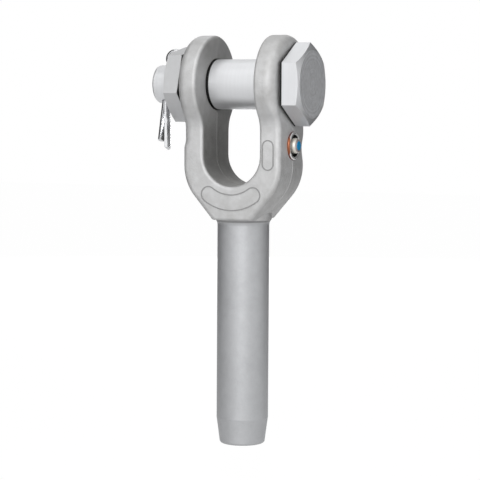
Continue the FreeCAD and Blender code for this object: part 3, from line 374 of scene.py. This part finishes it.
# Painted shade of a groove: a finer dark line round the tail.
TAIL_LINE, TAIL_LINE_COVER = -0.0621, 0.7
TURNING_MARKS, BOLT_CLOUDS = (900.0, 14.0, 14.0), 30.0
FACING_RINGS, FACE_SPECKLE, FACE_RAMP = 620.0, 300.0, (0.35, 0.65)
RING_SHARE, SPECKLE_SHARE = 0.45, 0.55
BOLT_STEEL = (grey(0.62, 0.012), grey(0.76, 0.018))
FACED_STEEL = (grey(0.74, 0.02), grey(0.96, 0.03))
BOLT_METALLIC, FACE_LOSS = 0.70, 0.60
MARK_DEPTH, MARK_STRENGTH = 0.00006, 0.35


def faced_head(finish, y, z):
    """The colour of the head's face: rings about the bolt's axis, broken by a speckle."""
    radius = distance(y, z - BOLT_AXIS_HEIGHT)
    rings = finish.node("ShaderNodeTexNoise", {"noise_dimensions": "1D"},
                        {"W": radius, "Scale": FACING_RINGS, "Detail": 2.0})
    mixed = rings * RING_SHARE + finish.grain(FACE_SPECKLE) * SPECKLE_SHARE
    return finish.blend(finish.window(mixed, *FACE_RAMP), *FACED_STEEL)


def turned_bolt():
    """Rings along the shank and on the head's face, with painted shade at the ears."""
    finish = Finish("turned_bolt")
    x, y, z = finish.axes()
    marks = finish.marks(TURNING_MARKS)
    steel = finish.blend(marks * 0.5 + finish.grain(BOLT_CLOUDS) * 0.5, *BOLT_STEEL)
    on_face = finish.window(x, HEAD_END - SOFT_EDGE, HEAD_END - SOFT_EDGE / 2)
    bare = finish.blend(on_face, steel, faced_head(finish, y, z))
    # Painted shade in the gaps at the ears and under the head.
    gap_shaded = finish.band(abs(x), HALF_JAW - GAP_SHADE_WIDTH, HEAD_BASE + GAP_SHADE_WIDTH, SOFT_EDGE)
    # Painted shade of a groove round the tail.
    on_tail = finish.band(x, TAIL_LINE - SOFT_EDGE, TAIL_LINE + SOFT_EDGE, SOFT_EDGE / 2)
    colour = finish.blend(gap_shaded.larger(on_tail * TAIL_LINE_COVER), bare, GAP_SHADE)
    return finish.grained(colour, marks, roughness=(0.36, 0.16),
                          metallic=BOLT_METALLIC - on_face * FACE_LOSS,
                          depth=MARK_DEPTH, strength=MARK_STRENGTH)


bolt_finish = turned_bolt()
print("bolt:", bolt_finish.name, "with painted_gap_shade lines of", GAP_SHADE_WIDTH, "m")

# %% [markdown]
# ## Nut and cotter pin
#
# The nut is plainer than the bolt, with a soft mill texture and the same dark
# line, painted shade in the gap, where it meets the ear. The cotter pin is bright
# drawn wire whose marks run along it. Drawing leaves wire smoother than turning
# leaves a bolt, so its roughness is lower and it mirrors its surroundings more.

# %% The nut's and the cotter pin's finish
NUT_TEXTURE, NUT_CLOUDS = 240.0, 40.0
NUT_STEEL = (grey(0.47, 0.006), grey(0.60, 0.010))
WIRE_MARKS = (500.0, 500.0, 30.0)
WIRE_STEEL = (grey(0.50, 0.010), grey(0.64, 0.016))


def milled_nut():
    """Even mill texture, with painted shade on the side that meets the ear."""
    finish = Finish("milled_nut")
    x = finish.axes()[0]
    texture = finish.grain(NUT_TEXTURE)
    steel = finish.blend(texture * 0.5 + finish.grain(NUT_CLOUDS) * 0.5, *NUT_STEEL)
    # Painted shade in the gap, on the face that meets the ear.
    line_end = -HEAD_BASE - GAP_SHADE_WIDTH
    gap_shaded = finish.window(x, line_end - SOFT_EDGE, line_end)
    return finish.grained(finish.blend(gap_shaded, steel, GAP_SHADE), texture,
                          roughness=(0.44, 0.16), metallic=0.65,
                          depth=MARK_DEPTH, strength=MARK_STRENGTH)


def drawn_wire():
    """Bright wire: the noise is long in Z, the way the legs hang."""
    finish = Finish("drawn_wire")
    marks = finish.marks(WIRE_MARKS)
    return finish.grained(finish.blend(marks, *WIRE_STEEL), marks,
                          roughness=(0.20, 0.14), metallic=0.95,
                          depth=MARK_DEPTH, strength=MARK_STRENGTH)


nut_finish, cotter_finish = milled_nut(), drawn_wire()
print("nut:", nut_finish.name, "and cotter pin:", cotter_finish.name)

# %% [markdown]
# ## The tag's four pieces
#
# From outside in, the tag is a copper ring, a black filling, a pale plug and a
# blue disc. The ring also carries a painted silvery reflection of the lamps, widest
# above and below the tag's axis. The pieces are small, so a slow noise would not
# show on them. Each gets a grain of its own size and a roughness that tells metal
# from plastic. The ring and the plug change colour at a radius, so their patterns
# are worked out from the distance to the tag's own axis.

# %% The ring's finish
TAG_AXIS_HEIGHT = 0.2495
# The silver and its widening above and below the axis are painted reflection of the lamps; the
# darker copper there is painted shade.
INNER_BLACK_EDGE, REFLECTION_EDGE = 0.0093, 0.0106
REFLECTION_FROM, REFLECTION_FULL, REFLECTION_WIDER = 0.0045, 0.0070, 0.0009
COPPER_SHADE_FROM, COPPER_SHADE_FULL = 0.0050, 0.0090
COPPER = ((0.20, 0.055, 0.025, 1), (0.40, 0.14, 0.060, 1))
COPPER_IN_SHADE = (0.13, 0.018, 0.016, 1)
SILVER_REFLECTION, RING_BLACK = (grey(0.86), grey(0.96)), grey(0.01)
RING_SPECKLE, TAG_DEPTH, TAG_STRENGTH = 260.0, 0.00005, 0.4


def plated_ring():
    """Near black inside, then a painted silvery reflection, then a copper wall.

    The copper shows most on the two sides. Above and below the tag's axis the
    painted reflection reaches further out, and the copper is darker, as painted shade.
    """
    finish = Finish("plated_ring")
    y, z = finish.axes()[1:]
    above = z - TAG_AXIS_HEIGHT
    radius = distance(y, above)
    speckle = finish.grain(RING_SPECKLE)
    # Painted shade: the copper is darker above and below the axis.
    copper = finish.blend(finish.window(abs(above), COPPER_SHADE_FROM, COPPER_SHADE_FULL),
                          finish.blend(speckle, *COPPER), COPPER_IN_SHADE)
    # Painted reflection: the silver reaches further out above and below the axis.
    edge = REFLECTION_EDGE + finish.window(abs(above), REFLECTION_FROM, REFLECTION_FULL) * REFLECTION_WIDER
    on_wall = finish.window(radius - edge, -SOFT_EDGE, SOFT_EDGE)
    metal = finish.blend(on_wall, finish.blend(speckle, *SILVER_REFLECTION), copper)
    # The ring is near black inside a radius of 9.3 mm.
    inner_black = 1 - finish.window(radius, INNER_BLACK_EDGE - SOFT_EDGE, INNER_BLACK_EDGE)
    return finish.grained(finish.blend(inner_black, metal, RING_BLACK), speckle,
                          roughness=(0.24, 0.14), metallic=0.55,
                          depth=TAG_DEPTH, strength=TAG_STRENGTH)


ring_finish = plated_ring()
print("ring:", ring_finish.name, "with its painted_reflection's edge", REFLECTION_EDGE, "m from the axis")

# %% The plug's, the filling's and the disc's finish
PLUG_RIM, RIM_FADE, PLUG_SPECKLE = 0.0057, 0.0003, 320.0
CREAM = ((0.78, 0.74, 0.66, 1), (0.92, 0.89, 0.82, 1))
GREYER_RIM = ((0.34, 0.29, 0.29, 1), (0.46, 0.41, 0.41, 1))
FILLING_BLACK = (grey(0.006), grey(0.016))
DISC_BLUE = ((0.016, 0.44, 0.94, 1), (0.026, 0.50, 1.0, 1))
MOULDED_RAMP = (0.3, 0.7)


def capped_plug():
    """Cream shoulder, with a greyer rim next to the disc."""
    finish = Finish("pale_plug")
    y, z = finish.axes()[1:]
    speckle = finish.grain(PLUG_SPECKLE)
    radius = distance(y, z - TAG_AXIS_HEIGHT)
    on_rim = 1 - finish.window(radius, PLUG_RIM - RIM_FADE, PLUG_RIM)
    colour = finish.blend(on_rim, finish.blend(speckle, *CREAM),
                          finish.blend(speckle, *GREYER_RIM))
    return finish.grained(colour, speckle, roughness=(0.30, 0.14), metallic=0.30,
                          depth=TAG_DEPTH, strength=TAG_STRENGTH)


def moulded(name, colours, scale, roughness, depth):
    """Two close colours mixed by a grain, with the same grain as a light bump."""
    finish = Finish(name)
    speckle = finish.grain(scale)
    colour = finish.blend(finish.window(speckle, *MOULDED_RAMP), *colours)
    return finish.grained(colour, speckle, roughness, metallic=0.0,
                          depth=depth, strength=TAG_STRENGTH)


plug_finish = capped_plug()
bed_finish = moulded("black_filling", FILLING_BLACK, scale=700.0,
                     roughness=(0.55, 0.25), depth=0.0002)
disc_finish = moulded("blue_disc", DISC_BLUE, scale=420.0,
                      roughness=(0.32, 0.12), depth=0.00004)
print("inside the ring:", bed_finish.name, plug_finish.name, disc_finish.name)

# %% [markdown]
# ## Dress the solids
#
# The solids keep their shape and place. Only their material slots change.

# %% Give each solid its finish
DRESS = {
    "socket_body": forging_finish,
    "clevis_bolt": bolt_finish,
    "nut": nut_finish,
    "cotter_pin": cotter_finish,
    "tag_ring": ring_finish,
    "tag_bed": bed_finish,
    "tag_plug": plug_finish,
    "tag_disc": disc_finish,
}
for node, material in DRESS.items():
    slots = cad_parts[node].data.materials
    slots.clear()
    slots.append(material)
    print(node, "<-", material.name)

# %% [markdown]
# ## The parting line
#
# The two halves of a forging die meet on the plane y = 0 and leave a low ridge
# there. It shows as a pale line down the outside of each leg and inside the jaw.
# It could be painted, but then it would not catch the light at its edge. Here a
# small half-round section is carried along each run of the fork's outline, as one
# grid. On the right leg the line stops below the tag and goes on above it.

# %% The fork's outline in the parting plane, in metres
HALF_FORK, SHOULDER = 0.0445, 0.2327
OUTER_BEND, FLANK = 0.040, math.radians(41)
LINE_FOOT, LINE_TOP = 0.1965, 0.2772
ABOVE_BEND, TAG_REACH = 0.0005, 0.0124
JAW_BEND_POINTS = 56


def straight(start, end, count=24):
    """Points from start to end: start plus an even share of the difference."""
    share = np.linspace(0, 1, count)[:, None]
    return np.array(start) + share * (np.array(end) - np.array(start))


def around(centre, radius, first, last, count=28):
    """Points on an arc: centre plus radius times the cosine and sine of an even sweep."""
    sweep = np.linspace(first, last, count)
    return np.array(centre) + radius * np.stack([np.cos(sweep), np.sin(sweep)], axis=1)


bend_x = HALF_FORK - OUTER_BEND * (1 - math.cos(FLANK))
bend_z = SHOULDER - OUTER_BEND * math.sin(FLANK)
foot_x = bend_x - (bend_z - LINE_FOOT) * math.tan(FLANK)
flank_and_bend = np.concatenate([
    straight((foot_x, LINE_FOOT), (bend_x, bend_z))[:-1],
    around((HALF_FORK - OUTER_BEND, SHOULDER), OUTER_BEND, -FLANK, 0)])
leg_foot = (HALF_FORK, SHOULDER + ABOVE_BEND)
below_tag = straight(leg_foot, (HALF_FORK, TAG_AXIS_HEIGHT - TAG_REACH))
above_tag = straight((HALF_FORK, TAG_AXIS_HEIGHT + TAG_REACH), (HALF_FORK, LINE_TOP))
whole_leg = straight(leg_foot, (HALF_FORK, LINE_TOP))
jaw = np.concatenate([
    straight((HALF_JAW, LINE_TOP), (HALF_JAW, JAW_CENTRE))[:-1],
    around((0, JAW_CENTRE), HALF_JAW, 0, -math.pi, JAW_BEND_POINTS),
    straight((-HALF_JAW, JAW_CENTRE), (-HALF_JAW, LINE_TOP))[1:]])
MIRROR = np.array([-1.0, 1.0])
outer_runs = [
    np.concatenate([flank_and_bend, below_tag]),
    above_tag,
    np.concatenate([flank_and_bend, whole_leg]) * MIRROR,
]
print("points along the runs:", [len(run) for run in outer_runs], "and", len(jaw), "in the jaw")

# %% Carry the ridge's section along each run
RIDGE_HALF_WIDTH, RIDGE_RISE, RIDGE_ROOT = 0.0010, 0.00012, 0.0004
SECTION_POINTS = 9


def ridge(run, inwards):
    """A closed grid: each outline point plus the section's rise times the normal.

    The normal is the run's direction turned a quarter turn. The section is half a
    ring, its width times the cosine and its rise times the sine of an angle, and
    it closes under the surface. inwards turns the normal towards the jaw's gap.
    Returns the points, the quads between rows, and a fan of triangles at each end.
    """
    along = np.gradient(run, axis=0)
    along /= np.linalg.norm(along, axis=1, keepdims=True)
    normal = np.stack([along[:, 1], -along[:, 0]], axis=1)
    towards = np.array([0.0, JAW_CENTRE]) - run
    sense = np.sign((normal * towards).sum(axis=1)) * (1 if inwards else -1)
    normal *= sense[:, None]
    angle = np.linspace(0, math.pi, SECTION_POINTS)
    wide = np.append(RIDGE_HALF_WIDTH * np.cos(angle), [-RIDGE_HALF_WIDTH, RIDGE_HALF_WIDTH])
    tall = np.append(RIDGE_RISE * np.sin(angle), [-RIDGE_ROOT, -RIDGE_ROOT])
    flat = run[:, None, :] + tall[None, :, None] * normal[:, None, :]
    y = np.broadcast_to(wide, flat.shape[:2])
    points = np.stack([flat[..., 0], y, flat[..., 1]], axis=-1)
    rows, columns = points.shape[:2]
    i, j = np.meshgrid(np.arange(rows - 1), np.arange(columns), indexing="ij")
    k = (j + 1) % columns
    quads = np.stack([i * columns + j, i * columns + k,
                      (i + 1) * columns + k, (i + 1) * columns + j], axis=-1).reshape(-1, 4)
    spoke = np.arange(1, columns - 1)
    fan = np.stack([np.zeros_like(spoke), spoke + 1, spoke], axis=1)
    fans = np.concatenate([fan, fan[:, ::-1] + (rows - 1) * columns])
    return points.reshape(-1, 3), quads, fans


def mesh_piece(name, grids, material):
    """One object from several grids, with its faces turned outwards."""
    points, faces, offset = [], [], 0
    for grid_points, quads, fans in grids:
        points.append(grid_points)
        faces += (quads + offset).tolist() + (fans + offset).tolist()
        offset += len(grid_points)
    mesh = bpy.data.meshes.new(name)
    mesh.from_pydata(np.concatenate(points).tolist(), [], faces)
    shell = bmesh.new()
    shell.from_mesh(mesh)
    bmesh.ops.recalc_face_normals(shell, faces=shell.faces)
    shell.to_mesh(mesh)
    shell.free()
    mesh.materials.append(material)
    piece = bpy.data.objects.new(name, mesh)
    scene.collection.objects.link(piece)
    return piece


grids = [ridge(run, inwards=False) for run in outer_runs] + [ridge(jaw, inwards=True)]
parting_line = mesh_piece("parting_line", grids, line_finish)
parting_line.data.shade_smooth()
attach(parting_line, "socket")
print("ridge faces:", len(parting_line.data.polygons))

# %% [markdown]
# ## Floor and white surroundings
#
# The object stands on a pale floor that fades into white. Making the light
# stronger would bleach the steel, so the white is only for rays that come from
# the camera or from a reflection. Other rays meet a dim grey sky and a grey
# floor, and these set how dark the shaded side of a leg is.

# %% Floor
FLOOR_HALF, FLOOR_GREY, FLOOR_WHITE, FLOOR_GLOW = 4.0, grey(0.35), 0.93, 1.06
MATT_ROUGHNESS = 0.9
WHITE = grey(1.0)

floor_mesh = bpy.data.meshes.new("floor")
corners = FLOOR_HALF * np.array([[-1, -1, 0], [1, -1, 0], [1, 1, 0], [-1, 1, 0]], dtype=float)
floor_mesh.from_pydata(corners.tolist(), [], [[0, 1, 2, 3]])
floor = bpy.data.objects.new("floor", floor_mesh)
scene.collection.objects.link(floor)
floor_finish = Finish("pale_floor")
floor_finish.surface(FLOOR_GREY, MATT_ROUGHNESS, metallic=0.0)
matt = Field(floor_finish, floor_finish.shader.outputs[0])
glow = floor_finish.node("ShaderNodeEmission", {}, {"Color": WHITE, "Strength": FLOOR_GLOW})
whitened = floor_finish.node("ShaderNodeMixShader", {},
                             {0: floor_finish.seen_directly() * FLOOR_WHITE, 1: matt, 2: glow})
floor_finish.put(floor_finish.tree.nodes["Material Output"].inputs["Surface"], whitened)
floor_mesh.materials.append(floor_finish.material)
print("floor half width in metres:", FLOOR_HALF)

# %% World
SKY = grey(0.03, -0.002)

world = bpy.data.worlds.new("studio")
scene.world = world
world.use_nodes = True
sky = Tree(world.node_tree)
sky.put(world.node_tree.nodes["Background"].inputs["Color"],
        sky.blend(sky.seen_directly(), SKY, WHITE))
print("sky level for lighting:", round(SKY[1], 3))

# %% [markdown]
# ## Soft lamps
#
# The shank is brightest along its middle and falls away to both edges, so the main
# lamp stands close to the camera's own direction, and the sky is dim. A weaker
# lamp above lifts the top edges. Both are large, because a small lamp of the same
# power would bleach the flats that mirror it. A third, a little above the bolt and
# square to the right leg, lights that leg's outer face. The leg itself hides this
# lamp from the jaw, which helps to keep the jaw's inside darker than the outside.
# The last one stands opposite the camera and lights the back, for whoever walks
# round. It is low, because from higher up it would graze the nut's upper flat and
# bleach it.

# %% Lamps
MIDDLE = Vector((0.0, 0.0, 0.2))


def lamp(name, place, size, power):
    """A square area lamp that faces the object's middle."""
    data = bpy.data.lights.new(name, "AREA")
    data.shape = "SQUARE"
    data.size = size
    data.energy = power
    item = bpy.data.objects.new(name, data)
    scene.collection.objects.link(item)
    item.location = place
    item.rotation_euler = (MIDDLE - Vector(place)).to_track_quat("-Z", "Y").to_euler()
    print(name, "at", place, "with", power, "W")


lamp("front", (0.52, -1.75, 0.75), size=1.2, power=21.0)
lamp("overhead", (0.0, -0.3, 1.7), size=2.0, power=9.0)
lamp("right", (1.0, 0.02, 0.35), size=0.3, power=0.6)
lamp("rear", (-0.75, 1.62, 0.22), size=0.4, power=14.0)

# %% [markdown]
# ## Dark cards
#
# A photographer stands black cards just outside the picture, on both sides. Pale
# metal in a white studio has no edge of its own, and the cards draw one: the
# shank darkens towards its sides and the bright wire gets dark lines. They stand
# beside the object and behind it, turned with the camera to the nearest tenth of
# a degree, so that a surface facing the camera still mirrors white. They are part
# of the studio, and the camera does not see them.

# %% Two cards, one each side of the object
CARD_OUT, CARD_FRONT, CARD_BACK = 0.42, 0.02, 1.00
CARD_FOOT, CARD_HEIGHT = 0.01, 1.10
CARD_TURN, CARD_BLACK = math.radians(24.8), grey(0.01)

card_finish = Finish("black_card")
card_finish.surface(CARD_BLACK, MATT_ROUGHNESS, metallic=0.0)
sideways = np.array([math.cos(CARD_TURN), math.sin(CARD_TURN), 0.0])
lengthways = np.array([-math.sin(CARD_TURN), math.cos(CARD_TURN), 0.0])
upright = np.array([0.0, 0.0, 1.0])
depths = np.array([CARD_FRONT, CARD_BACK, CARD_BACK, CARD_FRONT])[:, None]
heights = CARD_FOOT + CARD_HEIGHT * np.array([0.0, 0.0, 1.0, 1.0])[:, None]
for label, side in (("left_card", -1.0), ("right_card", 1.0)):
    corners = side * CARD_OUT * sideways + depths * lengthways + heights * upright
    card_mesh = bpy.data.meshes.new(label)
    card_mesh.from_pydata(corners.tolist(), [], [[0, 1, 2, 3]])
    card_mesh.materials.append(card_finish.material)
    card = bpy.data.objects.new(label, card_mesh)
    scene.collection.objects.link(card)
    card.visible_camera = False
    print(label, "stands", CARD_OUT, "m from the shank")

# %% [markdown]
# ## Camera
#
# The camera stands where a fit of the object's proportions to the picture put it:
# about 25 degrees round from the front towards the right side, level with the
# bolt's lower half, with a long lens that looks a little down. Its three
# directions are written out, so the place can be checked by hand.

# %% Camera from the fit
AZIMUTH, PITCH, ROLL, AIM_OFFSET = 24.764, 4.440, 0.330, 0.108
DISTANCE, HEIGHT = 1.46732, 0.28430
FOCAL_PIXELS, PICTURE_PIXELS, SENSOR_MM = 1765.98, 480, 36.0
FAR_LIMIT = 50.0

stand = math.radians(AZIMUTH)
yaw = math.radians(AZIMUTH + AIM_OFFSET)
pitch = math.radians(PITCH)
roll = math.radians(ROLL)
place = Vector((DISTANCE * math.sin(stand), -DISTANCE * math.cos(stand), HEIGHT))
forward = Vector((-math.sin(yaw) * math.cos(pitch), math.cos(yaw) * math.cos(pitch),
                  -math.sin(pitch)))
level_right = Vector((math.cos(yaw), math.sin(yaw), 0))
level_up = Vector((-math.sin(yaw) * math.sin(pitch), math.cos(yaw) * math.sin(pitch),
                   math.cos(pitch)))
right = level_right * math.cos(roll) + level_up * math.sin(roll)
up = level_up * math.cos(roll) - level_right * math.sin(roll)

lens = bpy.data.cameras.new("camera")
lens.sensor_width = SENSOR_MM
lens.lens = FOCAL_PIXELS / PICTURE_PIXELS * SENSOR_MM
lens.clip_end = FAR_LIMIT
camera = bpy.data.objects.new("camera", lens)
scene.collection.objects.link(camera)
turned_axes = Matrix((right, up, -forward)).transposed().to_4x4()
camera.matrix_world = Matrix.Translation(place) @ turned_axes
scene.camera = camera
scene.view_settings.view_transform = "Standard"
print("camera at", [round(v, 3) for v in place], "lens", round(lens.lens, 2), "mm")
